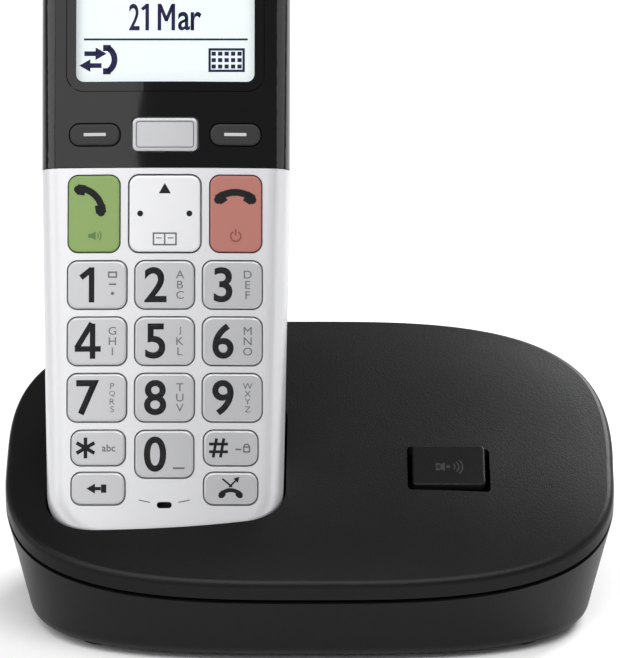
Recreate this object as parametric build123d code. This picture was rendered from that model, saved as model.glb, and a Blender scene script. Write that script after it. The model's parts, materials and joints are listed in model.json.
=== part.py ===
from build123d import *
from math import cos, radians, sin, sqrt, tan
import os

# A cordless phone handset standing in its charging base.
# The base lies with +X to the right, +Y to the back and +Z up. The handset is drawn lying down in its own
# frame (x across, y along its length from the bottom end, z out of its front) and then stood in the pocket.

# --- Base, overall ---
base_half_width = 64.0
base_front_reach = 36.5      # from the widest line to the front edge
base_back_reach = 41.5       # from the widest line to the back edge
base_squareness = 3.05       # exponent of the rounded plan outline
base_wall = 2.0
top_tilt = 20.6              # the top face rises to the back
seam_front_height = 16.4     # the seam between the housings, at the front edge
seam_reveal = 0.9
seam_tongue = 0.7            # the lower housing's lip stands this far above the seam
tongue_wall = 1.0
tongue_gap = 0.2
tongue_root = 4.0
rim_height = 3.4             # the upper housing's straight edge above the seam
top_crown = 3.6              # the top face swells by this much in the middle
top_edge_radius = 1.8
side_draw_in = 5.2           # the lower housing is smaller at the bottom by this much
bottom_edge_radius = 4.0
foot_height = 1.6
foot_sink = 0.6
foot_radius = 4.5
foot_places = ((43.5, -18.0), (41.0, 25.0))      # right-hand feet; the left ones mirror them

# --- Handset, overall ---
handset_length = 158.0
half_width_bottom = 24.3
half_width_middle = 25.9
half_width_top = 26.1
widening_ends = 80.0
bottom_corner_radius = 13.0
top_corner_radius = 18.0
front_depth = 12.5           # from the split plane to the front face
back_depth = 15.5            # from the split plane to the back face
front_crown_radius = 180.0
front_edge_radius = 5.0
back_edge_radius = 7.0
handset_wall = 2.0
split_gap = 0.3
lean = 24.0                  # the handset leans back from upright
handset_across = -30.1       # the handset's middle, from the base's middle
front_face_foot = (-25.3, 21.8)      # where the front face meets the bottom end, in the base's y and z
pocket_clearance = 0.5
pocket_wall = 1.6

# --- Keys ---
key_travel = 0.6
key_proud = 0.5
key_gap = 0.25
key_corner = 2.0
centre_key_corner = 1.1
key_edge_radius = 0.4
key_flange = 0.6
key_flange_clearance = 0.1
number_key = (12.2, 9.9)
zero_key = (12.0, 9.7)
small_key = (11.1, 7.2)
bottom_key = (11.0, 6.6)
call_key = (10.6, 15.9)
navigator_size = (14.7, 15.9)
soft_key = (10.4, 4.5)
centre_key = (13.5, 7.0)
row_gap = 1.8                # between one number key and the next
wide_row_gap = 1.9           # above and below the number keys
small_row_gap = 1.5
side_key_gap = 2.15          # beside the zero key
call_key_gap = 2.05          # beside the navigator
soft_key_gap = 2.65          # beside the centre key
bottom_key_along = 13.5
zero_along = 20.6
colour_break_rise = 1.65     # the silver lower front meets the black upper front above the navigator
soft_row_rise = 6.9          # from there to the soft keys
window_rise = 11.0           # from the soft keys to the window
column_pitch = number_key[0] + row_gap
row_pitch = number_key[1] + row_gap
last_row_along = zero_along + (zero_key[1] + number_key[1]) / 2 + wide_row_gap
first_row_along = last_row_along + 2 * row_pitch
small_key_along = bottom_key_along + (bottom_key[1] + small_key[1]) / 2 + small_row_gap
call_row_along = first_row_along + (number_key[1] + navigator_size[1]) / 2 + wide_row_gap
side_key_across = (zero_key[0] + small_key[0]) / 2 + side_key_gap
call_key_across = (navigator_size[0] + call_key[0]) / 2 + call_key_gap
soft_key_across = (centre_key[0] + soft_key[0]) / 2 + soft_key_gap
colour_break_along = call_row_along + navigator_size[1] / 2 + colour_break_rise
soft_row_along = colour_break_along + soft_row_rise
window_bottom = soft_row_along + window_rise
colour_break_gap = 0.15
microphone_slot = (3.1, 1.3)
microphone_along = 10.1
microphone_radius = 2.0
handset_shield = (24.0, 18.0, 2.4)
handset_shield_along = 112.0
handset_antenna = (16.0, 4.0, 1.6)
handset_antenna_along = 134.0
shield_wall = 0.4

# --- Inside the handset ---
key_foot = 8.2               # height of every key's underside above the split plane
membrane_clearance = 0.1
dome_height = 0.5
membrane_sheet = 0.5
board_thickness = 1.2
board_clearance = 1.0
navigator_tilt = 2.0          # to each side, in degrees
navigator_play = 0.15         # left round the navigator when it is tilted both ways
pivot_radius = 2.0
pivot_thickness = 0.3
window_size = (37.3, 29.2)
window_corner = 1.65
lens_margin = 2.0
lens_thickness = 1.1
lens_fit = 0.1
display_margin = 2.6
backlight_thickness = 1.0
display_thickness = 1.4
earpiece_along = 144.0
earpiece_radius = 7.5
earpiece_depth = 3.0
earpiece_slot = (13.0, 1.6)
speaker_along = 119.0
speaker_radius = 9.0
speaker_depth = 3.4
grille_slots = 5
grille_slot = (13.0, 1.3)
grille_pitch = 3.0
battery_radius = 5.25
battery_length = 44.5
battery_across = 6.4
battery_nub = (2.4, 0.8)
spring_length = 4.6
spring_radius = (3.0, 2.2)
plate_thickness = 0.4
battery_plate = 8.0
tub_wall = 1.2
divider_size = (1.0, 5.0)
cover_thickness = 1.8
cover_bottom = 48.0
cover_fit = 0.25
cover_corner = 3.0
cover_ledge = 0.8
cover_ledge_gap = 0.05
cover_hook = (5.0, 2.6, 1.2)         # across, reach under the lip, thickness
cover_hook_across = 7.0
cover_hook_root = 1.5
cover_lip = 1.0                      # the housing's lip outside the hooks
hook_play = 0.3
post_radius = 2.3
sleeve_radius = 3.3
screw_radius = 1.0
screw_head = (1.9, 1.2)
screw_head_rise = 3.0                # a screw's head sits this far behind the split plane
screw_play = 0.2
screw_head_play = 0.4
post_play = 0.2
post_places = ((14.5, 6.6), (16.5, 149.0))
charge_plate = (4.0, 6.0, 0.5)
charge_plate_across = 7.5
charge_plate_back = 4.6      # the plates' middle, behind the split plane

# --- Inside the base ---
contact_travel = 0.8
contact_gap = 0.05
contact_blade = (2.4, 3.6)
contact_shoulder = (0.8, 1.0)        # wider than the blade by this on each side, and its thickness
shoulder_drop = 1.0
contact_slot_gap = 0.2
contact_length = 6.0
carrier_size = (24.0, 9.0)
carrier_depth = 6.4
base_board = (38.0, 46.0, 1.4)
base_board_middle = (19.5, 6.5)
base_board_height = 7.0
board_post_radius = 2.2
board_post_inset = 4.0
base_post_radius = 3.4
base_post_places = ((48.0, -9.0), (43.0, 23.0))
base_post_foot = 7.0
base_post_gap = 0.2
base_screw_radius = 1.4
base_screw_reach = 5.0               # into the upper housing's posts
base_screw_head = (2.6, 1.6)
base_screw_sunk = 1.0
screw_end_play = 0.4
line_jack = (13.0, 15.0, 11.6)
line_mouth = (9.8, 6.7, 10.0)
line_jack_across = 19.0
power_jack = (9.0, 13.0, 10.6)
power_bore = (3.1, 9.0)
power_pin_radius = 1.0
power_jack_across = 34.0
jack_set_back = 0.3
wall_hole_margin = 0.6
locator_size = (15.3, 9.7)
locator_middle = (29.0, -7.25)
locator_corner = 1.0
locator_side_gap = 1.0
locator_front_gap = 1.9
locator_back_gap = 0.5
locator_travel = 0.8
locator_proud = (-0.2, 1.2)  # above the top face at its front edge and at its back edge
locator_plate = 1.2          # thickness of its face
locator_undercut = 1.4       # its body is smaller than its face by this all round
locator_flange = (1.0, 1.2)  # beyond the opening, and its thickness
locator_flange_clearance = 0.6
locator_stem = 4.0
locator_stem_clearance = 0.1
locator_edge_radius = 0.5
locator_switch = (6.0, 6.0, 3.4)
switch_nub = (1.8, 0.7)
base_shield = (16.0, 18.0, 3.0)
base_shield_middle = (11.0, 2.0)
base_antenna = (14.0, 0.8, 7.0)
base_antenna_places = ((11.0, -13.5), (11.0, 16.0))

slope = tan(radians(top_tilt))
floor_height = foot_height - foot_sink
everything = 3 * handset_length        # longer than any piece, for cuts that go right through
column_height = handset_length / 2     # taller than the base
least_corner = 0.3
below_floor = 5.0                      # how far cuts from below start under the floor
STAND = (Align.CENTER, Align.CENTER, Align.MIN)
parts = {}


# --- Base helpers ---
def plan_points(inset, count=32):
    """Points of the plan outline, drawn in by inset."""
    points = []
    for k in range(count):
        angle = radians(360.0 * k / count)
        reach = base_front_reach if sin(angle) < 0 else base_back_reach
        across = abs(cos(angle)) / (base_half_width - inset)
        along = abs(sin(angle)) / (reach - inset)
        radius = (across**base_squareness + along**base_squareness) ** (-1 / base_squareness)
        points.append((radius * cos(angle), radius * sin(angle)))
    return points


def seam_height(y, offset=0.0):
    return seam_front_height + (y + base_front_reach) * slope + offset


def top_height(x, y, offset=0.0):
    """Height of the swollen top face."""
    reach = base_front_reach if y < 0 else base_back_reach
    edge = (abs(x) / base_half_width) ** base_squareness + (abs(y) / reach) ** base_squareness
    return seam_height(y, rim_height + offset) + top_crown * (1 - edge)


def back_wall(x, z):
    """The outside of the back wall at a place across and a height."""
    share = (z - floor_height) / (seam_height(base_back_reach) - floor_height)
    inset = side_draw_in * (1 - share)
    across = (abs(x) / (base_half_width - inset)) ** base_squareness
    return (base_back_reach - inset) * (1 - across) ** (1 / base_squareness)


def plan_prism(inset):
    """An upright column with the plan outline, taller than the base."""
    outline = Wire([Spline(plan_points(inset), periodic=True)])
    return Pos(0, 0, -below_floor) * extrude(Face(outline), below_floor + column_height)


def above_top(offset=0.0):
    """Everything above the swollen top face."""
    wide = base_half_width + 6.0
    steps = 8
    grid = []
    for i in range(steps + 1):
        x = -wide + 2 * wide * i / steps
        row = []
        for j in range(steps + 1):
            y = -base_front_reach - 6.0 + (base_front_reach + base_back_reach + 12.0) * j / steps
            row.append(Vector(x, y, top_height(x, y, offset)))
        grid.append(row)
    surface = Face.make_surface_from_array_of_points(grid, smoothing=None, min_deg=3, max_deg=5)
    return Part(Solid.extrude(surface, Vector(0, 0, everything)).wrapped)


def seam_plane(offset=0.0):
    return Plane(
        origin=(0, -base_front_reach, seam_front_height + offset),
        x_dir=(1, 0, 0),
        z_dir=(0, -sin(radians(top_tilt)), cos(radians(top_tilt))),
    )


def above(body, offset):
    return split(body, bisect_by=seam_plane(offset), keep=Keep.TOP)


def below(body, offset):
    return split(body, bisect_by=seam_plane(offset), keep=Keep.BOTTOM)


def lower_body(inset):
    """The lower housing's solid shape: it widens from its floor to the seam."""
    low = [(x, y, floor_height) for x, y in plan_points(side_draw_in + inset)]
    high = [(x, y, seam_height(y, -seam_reveal)) for x, y in plan_points(inset)]
    wires = [Wire([Spline(points, periodic=True)]) for points in (low, high)]
    return Part(Solid.make_loft(wires, ruled=True).wrapped)


def columns(radius, low, high, places):
    """Upright cylinders at right-hand places and at their mirror images."""
    solids = []
    for x, y in places:
        for side in (-1, 1):
            solids.append(Pos(side * x, y, low) * Cylinder(radius, high - low, align=STAND))
    return Part() + solids


# --- Handset helpers ---
def handset_outline(grow=0.0):
    """The front view of the handset, grown or shrunk all round."""
    right = [
        (half_width_bottom + grow, -grow),
        (half_width_middle + grow, widening_ends),
        (half_width_top + grow, handset_length + grow),
    ]
    left = [(-x, y) for x, y in reversed(right)]
    face = make_face(Polyline(right + left, close=True))
    corners = face.vertices().sort_by(Axis.Y)
    face = fillet([corners[0], corners[1]], bottom_corner_radius + grow)
    corners = face.vertices().sort_by(Axis.Y)
    return fillet([corners[-1], corners[-2]], top_corner_radius + grow)


def crown(height_change):
    """A long cylinder whose top is the crowned front face, moved by height_change."""
    radius = front_crown_radius + height_change
    body = Rot(90, 0, 0) * Cylinder(radius, 3 * handset_length)
    return Pos(0, handset_length / 2, front_depth - front_crown_radius) * body


def envelope(grow=0.0):
    """The whole handset as one solid, grown or shrunk all round."""
    depth = front_depth + back_depth + 2 * grow
    body = Pos(0, 0, -back_depth - grow) * extrude(handset_outline(grow), depth)
    body = body & crown(grow)
    front = body.edges().filter_by(lambda e: e.center().Z > front_depth * 0.6 and e.length > 2)
    body = fillet(front, front_edge_radius + grow)
    back = body.edges().filter_by(lambda e: abs(e.center().Z + back_depth + grow) < 0.01)
    return fillet(back, back_edge_radius + grow)


def front_half(body, offset):
    return split(body, bisect_by=Plane.XY.offset(offset), keep=Keep.TOP)


def back_half(body, offset):
    return split(body, bisect_by=Plane.XY.offset(offset), keep=Keep.BOTTOM)


def tile(size, middle, low, high, corner, grow=0.0):
    """A rounded rectangular prism on the front view."""
    radius = min(max(corner + grow, least_corner), (min(size) + 2 * grow) * 0.49)
    sketch = RectangleRounded(size[0] + 2 * grow, size[1] + 2 * grow, radius)
    return Pos(middle[0], middle[1], low) * extrude(sketch, high - low)


def pin(radius, middle, low, high):
    return Pos(middle[0], middle[1], low) * Cylinder(radius, high - low, align=STAND)


def along_pin(radius, x, z, low, high):
    """A cylinder that lies along the handset."""
    return Pos(x, high, z) * Rot(90, 0, 0) * Cylinder(radius, high - low, align=STAND)


seat = Pos(
    handset_across,
    front_face_foot[0] + front_depth * cos(radians(lean)),
    front_face_foot[1] - front_depth * sin(radians(lean)),
) * Rot(90 - lean, 0, 0)

# --- Key places ---
keys = {
    "talk_key": (call_key, (-call_key_across, call_row_along)),
    "off_key": (call_key, (call_key_across, call_row_along)),
    "star_key": (small_key, (-side_key_across, small_key_along)),
    "hash_key": (small_key, (side_key_across, small_key_along)),
    "key_0": (zero_key, (0.0, zero_along)),
    "redial_key": (bottom_key, (-side_key_across, bottom_key_along)),
    "mute_key": (bottom_key, (side_key_across, bottom_key_along)),
    "soft_key_left": (soft_key, (-soft_key_across, soft_row_along)),
    "soft_key_right": (soft_key, (soft_key_across, soft_row_along)),
    "centre_key": (centre_key, (0.0, soft_row_along)),
}
for number in range(1, 10):
    column_number = (number - 1) % 3 - 1
    row_number = (number - 1) // 3
    middle = (column_number * column_pitch, first_row_along - row_number * row_pitch)
    keys[f"key_{number}"] = (number_key, middle)
navigator_middle = (0.0, call_row_along)
window_middle = (0.0, window_bottom + window_size[1] / 2)

membrane_top = key_foot - key_travel - membrane_clearance
membrane_foot = membrane_top - dome_height - membrane_sheet
board_top = membrane_foot
board_foot = board_top - board_thickness
pivot_foot = (membrane_top + key_foot - pivot_thickness) / 2
tilt_share = sin(radians(navigator_tilt))
navigator_drop = (sum(navigator_size) / 2 + 2 * key_flange) * tilt_share + navigator_play
navigator_gap = (front_depth + key_proud - pivot_foot) * tilt_share + navigator_play

# --- Handset housings ---
shell_inside = envelope(-handset_wall)
shell = envelope() - shell_inside
post_middles = [(side * x, y) for x, y in post_places for side in (-1, 1)]
lower_posts = [place for place in post_middles if place[1] < colour_break_along]
upper_posts = [place for place in post_middles if place[1] > colour_break_along]


def posts(places):
    """Screw posts on a front housing, down to the split plane."""
    solids = [pin(post_radius, place, split_gap / 2, front_depth) for place in places]
    holes = [pin(screw_radius, place, split_gap / 2, board_top) for place in places]
    return ((Part() + solids) & envelope(-handset_wall / 2)) - holes


front = front_half(shell, split_gap / 2)
lower_zone = Pos(0, colour_break_along - colour_break_gap / 2 - everything / 2, 0) * Box(
    everything, everything, everything
)
upper_zone = Pos(0, colour_break_along + colour_break_gap / 2 + everything / 2, 0) * Box(
    everything, everything, everything
)
corners = dict.fromkeys(keys, key_corner)
corners["centre_key"] = centre_key_corner
apertures = [
    tile(size, middle, board_top, everything, corners[name], key_gap)
    for name, (size, middle) in keys.items()
]
apertures.append(
    tile(navigator_size, navigator_middle, board_top, everything, key_corner, navigator_gap)
)
microphone_hole = tile(
    microphone_slot, (0, microphone_along), board_top, everything, microphone_slot[1] * 0.49
)
earpiece_hole = tile(
    earpiece_slot, (0, earpiece_along), board_top, everything, earpiece_slot[1] * 0.49
)
window_hole = tile(window_size, window_middle, board_top, everything, window_corner)
lens_blank = tile(window_size, window_middle, 0, everything, window_corner, lens_margin)
lens_seat = lens_blank - crown(-lens_thickness)

parts["handset_front_housing"] = ((front & lower_zone) + posts(lower_posts)) - apertures - microphone_hole
parts["handset_top_panel"] = (
    ((front & upper_zone) + posts(upper_posts)) - apertures - earpiece_hole - window_hole - lens_seat
)
lens = tile(window_size, window_middle, 0, everything, window_corner, lens_margin - lens_fit)
parts["display_lens"] = (lens & crown(-lens_fit)) - crown(-lens_thickness)


# --- Keys ---
def key_cap(size, middle, corner, flange_room):
    """A crowned key with a flange that lies behind the front wall."""
    cap = tile(size, middle, key_foot, everything, corner) & crown(key_proud)
    cap = fillet(cap.faces().sort_by(Axis.Z)[-1].edges(), key_edge_radius)
    flange = tile(size, middle, key_foot, front_depth, corner, key_flange)
    return cap + (flange & flange_room)


room_behind_wall = envelope(-handset_wall - key_flange_clearance)
for name, (size, middle) in keys.items():
    parts[name] = key_cap(size, middle, corners[name], room_behind_wall)
room_to_tilt = crown(-handset_wall - navigator_drop)
parts["navigator_key"] = key_cap(navigator_size, navigator_middle, key_corner, room_to_tilt)
parts["navigator_pivot"] = pin(pivot_radius, navigator_middle, pivot_foot, pivot_foot + pivot_thickness)

# --- Keypad, board and display ---
board_outline = handset_outline(-handset_wall - board_clearance)
board_zone = Pos(0, 0, board_foot) * extrude(board_outline, board_thickness)
post_holes = [pin(post_radius + post_play, place, 0, front_depth) for place in post_middles]
parts["handset_board"] = board_zone - post_holes
sheet_along = (bottom_key_along - bottom_key[1] / 2, soft_row_along + centre_key[1] / 2 + 1.5)
sheet_size = (2 * (half_width_bottom - handset_wall - 2.0), sheet_along[1] - sheet_along[0])
sheet_middle = (0, sum(sheet_along) / 2)
membrane = tile(sheet_size, sheet_middle, membrane_foot, membrane_foot + membrane_sheet, 3.0)
domes = [
    tile((size[0] * 0.5, size[1] * 0.5), middle, membrane_foot, membrane_top, 1.0)
    for size, middle in keys.values()
]
microphone_room = pin(microphone_radius + 0.3, (0, microphone_along), 0, front_depth)
parts["keypad_membrane"] = membrane + domes - post_holes - microphone_room
display_size = (window_size[0] + 2 * display_margin, window_size[1] + 2 * display_margin)
backlight_top = board_top + backlight_thickness
parts["display_backlight"] = tile(display_size, window_middle, board_top, backlight_top, 1.0)
parts["display_panel"] = tile(
    display_size, window_middle, backlight_top, backlight_top + display_thickness, 0.6
)
flex_along = window_bottom - display_margin - 1.6
parts["display_flex"] = tile((20.0, 2.4), (0, flex_along), board_top, board_top + 0.3, 0.3)
earpiece_top = front_depth - handset_wall - 0.2
parts["earpiece_speaker"] = pin(
    earpiece_radius, (0, earpiece_along), earpiece_top - earpiece_depth, earpiece_top
)
parts["microphone"] = pin(microphone_radius, (0, microphone_along), board_top, board_top + 1.6)
wide, long, deep = handset_shield
can = Pos(0, handset_shield_along, board_foot - deep) * Box(wide, long, deep, align=STAND)
hollow = Pos(0, handset_shield_along, board_foot - deep + shield_wall) * Box(
    wide - 2 * shield_wall, long - 2 * shield_wall, deep, align=STAND
)
parts["handset_shield"] = can - hollow
wide, long, deep = handset_antenna
antenna_foot = board_foot - deep
parts["handset_antenna"] = Pos(0, handset_antenna_along, antenna_foot) * Box(wide, long, deep, align=STAND)

# --- Battery bay and cover ---
bay_length = plate_thickness + battery_length + battery_nub[1] + spring_length
cover_size = (2 * (battery_across + battery_radius + 1.6), bay_length + 2 * cover_fit)
cover_middle = (0, cover_bottom + cover_size[1] / 2)
cover_low = -back_depth
cover_high = cover_low + cover_thickness
battery_height = cover_high + 0.3 + battery_radius
bay_floor = battery_height + battery_radius + 0.3
bay = tile(
    cover_size, cover_middle, -everything, cover_high + cover_ledge_gap, cover_corner, cover_fit
)
inner_size = (cover_size[0] - 2 * cover_ledge, cover_size[1] + 2 * cover_fit)
bay = bay + tile(inner_size, cover_middle, cover_low, bay_floor, cover_corner)
tub = tile(
    cover_size, cover_middle, cover_low, bay_floor + tub_wall, cover_corner, cover_fit + tub_wall
)
divider = Pos(0, cover_middle[1], bay_floor) * Box(
    divider_size[0], cover_size[1] + cover_fit, 2 * divider_size[1]
)
back = back_half(shell, -split_gap / 2) + (tub & back_half(envelope(-split_gap), -split_gap / 2))
grille_high = cover_low + handset_wall + 0.1
grille = []
for k in range(grille_slots):
    along = speaker_along + (k - (grille_slots - 1) / 2) * grille_pitch
    grille.append(tile(grille_slot, (0, along), -everything, grille_high, grille_slot[1] * 0.49))
plate_holes = [
    Pos(side * charge_plate_across, 0, -charge_plate_back)
    * Box(charge_plate[0], 2 * charge_plate[2], charge_plate[1])
    for side in (-1, 1)
]
sleeves = Part() + [pin(sleeve_radius, place, -everything, -split_gap / 2) for place in post_middles]
head_floor = -screw_head_rise
screw_ways = [pin(screw_radius + screw_play, place, -everything, 0) for place in post_middles]
head_ways = [pin(screw_head[0] + screw_head_play, place, -everything, head_floor) for place in post_middles]
hook_low = cover_low + cover_lip + hook_play
hook_swing = sqrt(cover_hook[1] ** 2 + (cover_lip + hook_play + cover_hook[2]) ** 2) + hook_play
hook_holes = [
    Pos(side * cover_hook_across, cover_bottom - hook_swing, cover_low + cover_lip)
    * Box(
        cover_hook[0] + 2 * hook_play,
        hook_swing + 1.0,
        hook_swing,
        align=(Align.CENTER, Align.MIN, Align.MIN),
    )
    for side in (-1, 1)
]
back = back + (sleeves & envelope(-handset_wall / 2))
back = back - bay - grille - plate_holes - screw_ways - head_ways - hook_holes
parts["handset_back_housing"] = back + (divider & bay)

hooks = [
    Pos(side * cover_hook_across, cover_bottom - cover_hook[1], hook_low)
    * Box(
        cover_hook[0],
        cover_hook[1] + cover_hook_root,
        cover_hook[2],
        align=(Align.CENTER, Align.MIN, Align.MIN),
    )
    for side in (-1, 1)
]
parts["battery_cover"] = tile(cover_size, cover_middle, cover_low, cover_high, cover_corner) + hooks
cell_foot = cover_bottom + spring_length
cells = []
springs = []
plates = []
for side in (-1, 1):
    x = side * battery_across
    cell_end = cell_foot + battery_length
    cell = along_pin(battery_radius, x, battery_height, cell_foot, cell_end)
    cells.append(cell + along_pin(battery_nub[0], x, battery_height, cell_end, cell_end + battery_nub[1]))
    springs.append(
        along_pin(spring_radius[0], x, battery_height, cover_bottom, cell_foot)
        - along_pin(spring_radius[1], x, battery_height, cover_bottom, cell_foot)
    )
    plates.append(
        Pos(x, cell_end + battery_nub[1] + plate_thickness / 2, battery_height)
        * Box(battery_plate, plate_thickness, battery_plate)
    )
parts["batteries"] = Part() + cells
parts["battery_springs"] = Part() + springs
parts["battery_plates"] = Part() + plates
speaker_low = -back_depth + handset_wall + 0.1
parts["loudspeaker"] = pin(speaker_radius, (0, speaker_along), speaker_low, speaker_low + speaker_depth)
parts["charge_plates"] = Part() + [
    Pos(side * charge_plate_across, charge_plate[2] / 2, -charge_plate_back)
    * Box(charge_plate[0], charge_plate[2], charge_plate[1])
    for side in (-1, 1)
]
parts["handset_screws"] = Part() + [
    pin(screw_radius, place, head_floor, board_foot)
    + pin(screw_head[0], place, head_floor - screw_head[1], head_floor)
    for place in post_middles
]
handset_nodes = list(parts)
for name in handset_nodes:
    parts[name] = seat * parts[name]

# --- Base housings ---
pocket = seat * envelope(pocket_clearance)
top_shape = above(plan_prism(0), 0) - above_top()
top_shape = fillet(top_shape.faces().sort_by(Axis.Z)[-1].edges(), top_edge_radius)
under_roof = above_top(-base_wall / 2)
top = top_shape - (plan_prism(base_wall) - above_top(-base_wall))
pocket_shell = below(seat * envelope(pocket_clearance + pocket_wall), rim_height + 2 * top_crown)
top = top + (pocket_shell - under_roof)
top = top + (columns(base_post_radius, base_post_foot, everything, base_post_places) - under_roof)
contact_slots = [
    seat
    * Pos(side * charge_plate_across, 0, -charge_plate_back)
    * Box(
        contact_blade[0] + 2 * contact_slot_gap,
        2 * (pocket_clearance + pocket_wall) + 1.0,
        contact_blade[1] + 2 * contact_slot_gap,
    )
    for side in (-1, 1)
]
opening_size = (
    locator_size[0] + 2 * locator_side_gap,
    locator_size[1] + locator_front_gap + locator_back_gap,
)
opening_middle = (locator_middle[0], locator_middle[1] + (locator_back_gap - locator_front_gap) / 2)
locator_opening = tile(opening_size, opening_middle, base_board_height, everything, locator_corner)
pilot_holes = columns(base_screw_radius, 0, base_post_foot + base_screw_reach, base_post_places)
parts["base_top_housing"] = top - pocket - contact_slots - locator_opening - pilot_holes

floor_top = floor_height + base_wall
lower = lower_body(0)
lower = fillet(lower.faces().sort_by(Axis.Z)[0].edges(), bottom_edge_radius)
tongue_in = base_wall + tongue_gap
ring = plan_prism(tongue_in) - plan_prism(tongue_in + tongue_wall)
tongue = below(above(ring, -tongue_root), seam_tongue)
root_ring = plan_prism(base_wall / 2) - plan_prism(tongue_in + tongue_wall)
root = below(above(root_ring, -tongue_root), -seam_reveal) & lower
lower_posts = columns(base_post_radius, floor_height, base_post_foot - base_post_gap, base_post_places)
board_x, board_y = base_board_middle
post_x, post_y = (base_board[0] / 2 - board_post_inset, base_board[1] / 2 - board_post_inset)
board_corners = [
    (board_x + side * post_x, board_y + end * post_y)
    for side in (-1, 1)
    for end in (-1, 1)
]
board_posts = [
    Pos(px, py, floor_height) * Cylinder(board_post_radius, base_board_height - floor_height, align=STAND)
    for px, py in board_corners
]
lower = lower - split(lower_body(base_wall), bisect_by=Plane.XY.offset(floor_top), keep=Keep.TOP)
lower = lower + root + tongue + lower_posts + board_posts
board_high = base_board_height + base_board[2]
mouth_height = board_high + line_jack[2] / 2
line_face = back_wall(line_jack_across + line_jack[0] / 2, board_high) - base_wall - jack_set_back
line_hole = Pos(line_jack_across, line_face, mouth_height) * Box(
    line_mouth[0] + 2 * wall_hole_margin,
    everything,
    line_mouth[1] + 2 * wall_hole_margin,
    align=(Align.CENTER, Align.MIN, Align.CENTER),
)
bore_height = board_high + power_jack[2] / 2
power_face = back_wall(power_jack_across + power_jack[0] / 2, board_high) - base_wall - jack_set_back
power_hole = Pos(power_jack_across, power_face, bore_height) * Rot(-90, 0, 0) * Cylinder(
    power_bore[0] + wall_hole_margin, everything, align=STAND
)
head_height = floor_height + base_screw_sunk
head_top = head_height + base_screw_head[1]
head_ways = columns(base_screw_head[0] + screw_head_play, -below_floor, head_top, base_post_places)
shaft_ways = columns(base_screw_radius + screw_play, -below_floor, base_post_foot, base_post_places)
foot_sinks = columns(foot_radius, -below_floor, foot_height, foot_places)
parts["base_bottom_housing"] = (
    lower - line_hole - power_hole - head_ways - shaft_ways - foot_sinks
)
parts["base_feet"] = columns(foot_radius, 0, foot_height, foot_places)
shaft_top = base_post_foot + base_screw_reach - screw_end_play
shafts = columns(base_screw_radius, head_height, shaft_top, base_post_places)
heads = columns(base_screw_head[0], head_height, head_top, base_post_places)
parts["base_screws"] = shafts + heads

# --- Inside the base ---
parts["base_board"] = Pos(board_x, board_y, base_board_height) * Box(*base_board, align=STAND)
wide, long, deep = base_shield
x, y = base_shield_middle
can = Pos(x, y, board_high) * Box(wide, long, deep, align=STAND)
hollow = Pos(x, y, board_high) * Box(
    wide - 2 * shield_wall, long - 2 * shield_wall, deep - shield_wall, align=STAND
)
parts["base_shield"] = can - hollow
parts["base_antennas"] = Part() + [
    Pos(x, y, board_high) * Box(*base_antenna, align=STAND) for x, y in base_antenna_places
]
FACE_BACK = (Align.CENTER, Align.MAX, Align.MIN)
mouth = Pos(line_jack_across, line_face, mouth_height) * Box(
    line_mouth[0], 2 * line_mouth[2], line_mouth[1]
)
parts["line_jack"] = Pos(line_jack_across, line_face, board_high) * Box(*line_jack, align=FACE_BACK) - mouth
power = Pos(power_jack_across, power_face, board_high) * Box(*power_jack, align=FACE_BACK)
bore = Pos(power_jack_across, power_face - power_bore[1], bore_height) * Rot(-90, 0, 0) * (
    Cylinder(power_bore[0], power_bore[1] + 1, align=STAND)
    - Cylinder(power_pin_radius, power_bore[1] - 1.5, align=STAND)
)
parts["power_jack"] = power - bore
x, y = locator_middle
parts["locator_switch"] = Pos(x, y, board_high) * (
    Box(*locator_switch, align=STAND)
    + Pos(0, 0, locator_switch[2]) * Cylinder(*switch_nub, align=STAND)
)
nub_top = board_high + locator_switch[2] + switch_nub[1]
front_edge = y - locator_size[1] / 2
back_edge = y + locator_size[1] / 2
face_front = top_height(x, front_edge, locator_proud[0])
face_back = top_height(x, back_edge, locator_proud[1])


def below_face(body, drop):
    """The part of a body that lies below the button's face, moved down by drop."""
    plane = Plane(
        origin=(x, front_edge, face_front - drop),
        x_dir=(1, 0, 0),
        z_dir=(0, face_front - face_back, back_edge - front_edge),
    )
    return split(body, bisect_by=plane, keep=Keep.BOTTOM)


flange_front = opening_middle[1] - opening_size[1] / 2 - locator_flange[0]
flange_high = top_height(x, flange_front, -base_wall - locator_flange_clearance)
flange_low = flange_high - locator_flange[1]
cap = below_face(tile(locator_size, locator_middle, flange_low, everything, locator_corner), 0)
cap = fillet(cap.faces().sort_by(Axis.Z)[-1].edges(), locator_edge_radius)
cap = cap - below_face(cap, locator_plate)
neck = tile(locator_size, locator_middle, flange_low, everything, locator_corner, -locator_undercut)
neck = below_face(neck, locator_plate / 2)
flange = tile(opening_size, opening_middle, flange_low, flange_high, locator_corner, locator_flange[0])
stem_low = nub_top + locator_travel + locator_stem_clearance
stem = Pos(x, y, stem_low) * Box(locator_stem, locator_stem, flange_low - stem_low, align=STAND)
parts["locator_button"] = cap + neck + flange + stem

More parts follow.
